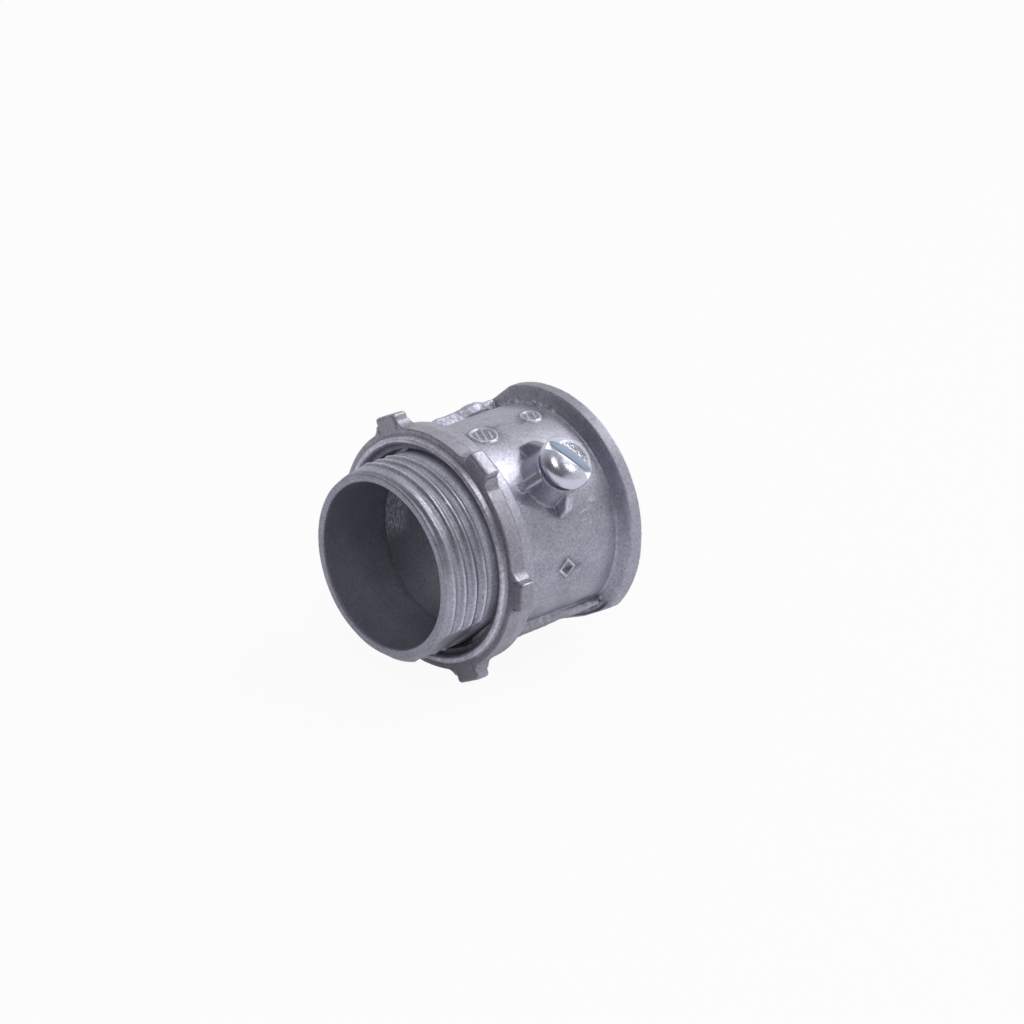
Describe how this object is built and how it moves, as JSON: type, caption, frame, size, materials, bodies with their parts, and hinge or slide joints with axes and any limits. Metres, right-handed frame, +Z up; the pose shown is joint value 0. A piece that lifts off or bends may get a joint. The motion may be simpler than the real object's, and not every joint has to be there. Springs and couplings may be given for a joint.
{
  "type": "conduit connector",
  "caption": "Short metal fitting that fixes conduit to a box: threaded nose with a lugged ring nut, round socket, and a screw in a ribbed boss that clamps the conduit.",
  "frame": {"origin": "on the connector's axis, in the plane of the shoulder that seats on the box wall", "axes": "+X along the axis, out of the conduit socket; the threaded nose points to -X; +Z up with the connector lying on two lugs of its nut and the rim of its flange; the set screw's boss leans 43 degrees from +Z towards -Y"},
  "size_m": [0.0384, 0.045, 0.0415],
  "materials": {
    "cast_zinc": "as-cast matte grey",
    "nut_zinc": "as-cast matte grey",
    "plated_steel": "bright zinc plate"
  },
  "bodies": {
    "connector": {"connector_body": "cast_zinc"},
    "nut": {"locknut": "nut_zinc"},
    "screw": {"set_screw": "plated_steel"}
  },
  "joints": [
    {"name": "locknut_travel", "type": "slide", "parent": "connector", "child": "nut", "axis": [-1, 0, 0], "range_m": [0, 0.0084]},
    {"name": "set_screw_travel", "type": "slide", "parent": "connector", "child": "screw", "axis": [0, -0.682, 0.7314], "range_m": [-0.00135, 0.004]}
  ]
}
